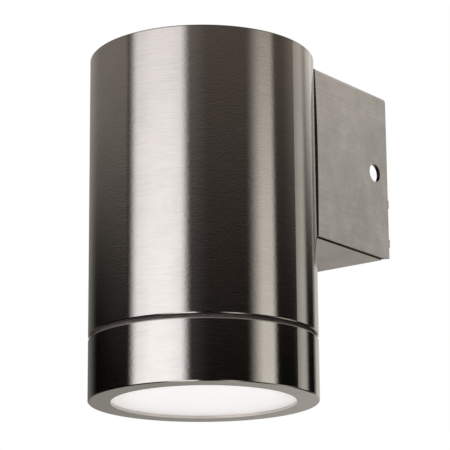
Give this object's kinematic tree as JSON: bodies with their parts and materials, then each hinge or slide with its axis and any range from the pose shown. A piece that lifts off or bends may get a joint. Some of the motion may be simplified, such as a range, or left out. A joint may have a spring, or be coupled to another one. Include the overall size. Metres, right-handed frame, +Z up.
{
  "type": "tube wall light",
  "caption": "Round brushed-steel tube wall light that shines down through a screw-on lens ring, carried by a square folded box on a wall bracket.",
  "frame": {"origin": "centre of the wall bracket's slot pattern, on the wall plane at its back face", "axes": "+Z up, +Y into the wall, the light stands out towards -Y, +X to the right of a viewer who faces the wall"},
  "size_m": [0.065, 0.0915, 0.1003],
  "materials": {
    "brushed_steel": "fine horizontal brushing",
    "inner_steel": "plain mill-finish steel",
    "zinc_plate": "bright zinc plating",
    "seal_rubber": "matt black rubber",
    "clear_gasket": "translucent silicone",
    "frosted_glass": "frosted, evenly white",
    "ceramic": "unglazed steatite ceramic",
    "brass": "plain turned brass",
    "block_plastic": "moulded natural nylon",
    "live_sleeve": "brown silicone sleeve",
    "neutral_sleeve": "blue silicone sleeve",
    "earth_sleeve": "green and yellow silicone sleeve",
    "lamp_mirror": "vapour-coated glass reflector",
    "lamp_ceramic": "white glazed base",
    "lamp_glass": "clear glass"
  },
  "bodies": {
    "bracket": {"wall_bracket": "zinc_plate", "cable_grommet": "seal_rubber", "bracket_earth_screw": "brass"},
    "light": {"body_tube": "brushed_steel", "top_cap": "brushed_steel", "box_sleeve": "brushed_steel", "threaded_collar": "inner_steel", "saddle_plate": "inner_steel", "holder_strap": "zinc_plate", "saddle_screws": "zinc_plate", "saddle_nuts": "zinc_plate", "saddle_washer": "zinc_plate", "strap_screws": "zinc_plate", "terminal_screws": "zinc_plate", "terminal_block_screw": "zinc_plate", "earth_tag": "zinc_plate", "ring_seal": "seal_rubber", "saddle_gasket": "seal_rubber", "lead_grommet": "seal_rubber", "lamp_holder": "ceramic", "holder_face": "ceramic", "holder_contacts": "brass", "terminal_clamps": "brass", "terminal_block": "block_plastic", "live_lead": "live_sleeve", "neutral_lead": "neutral_sleeve", "earth_lead": "earth_sleeve"},
    "lamp": {"lamp_base": "lamp_ceramic", "lamp_pins": "zinc_plate", "lamp_reflector": "lamp_mirror", "lamp_front_glass": "lamp_glass", "lamp_capsule": "lamp_glass"},
    "lens": {"lens_glass": "frosted_glass", "lens_gasket": "clear_gasket"},
    "ring": {"lens_ring": "brushed_steel"}
  },
  "joints": [
    {"name": "light_off_bracket", "type": "slide", "parent": "bracket", "child": "light", "axis": [0, -1, 0], "range_m": [0, 0.014]},
    {"name": "lens_down", "type": "slide", "parent": "light", "child": "lens", "axis": [0, 0, -1], "range_m": [0, 0.006]},
    {"name": "ring_unscrew", "type": "hinge", "parent": "lens", "child": "ring", "pos_m": [0, -0.059, -0.066], "axis": [0, 0, -1], "range_deg": [0, 1440]},
    {"name": "lamp_twist", "type": "hinge", "parent": "light", "child": "lamp", "pos_m": [0, -0.059, -0.02], "axis": [0, 0, -1], "range_deg": [0, 25]}
  ],
  "couplings": [
    {"joint": "lens_down", "follows": "ring_unscrew", "m_per_rad": 0.00023873}
  ]
}
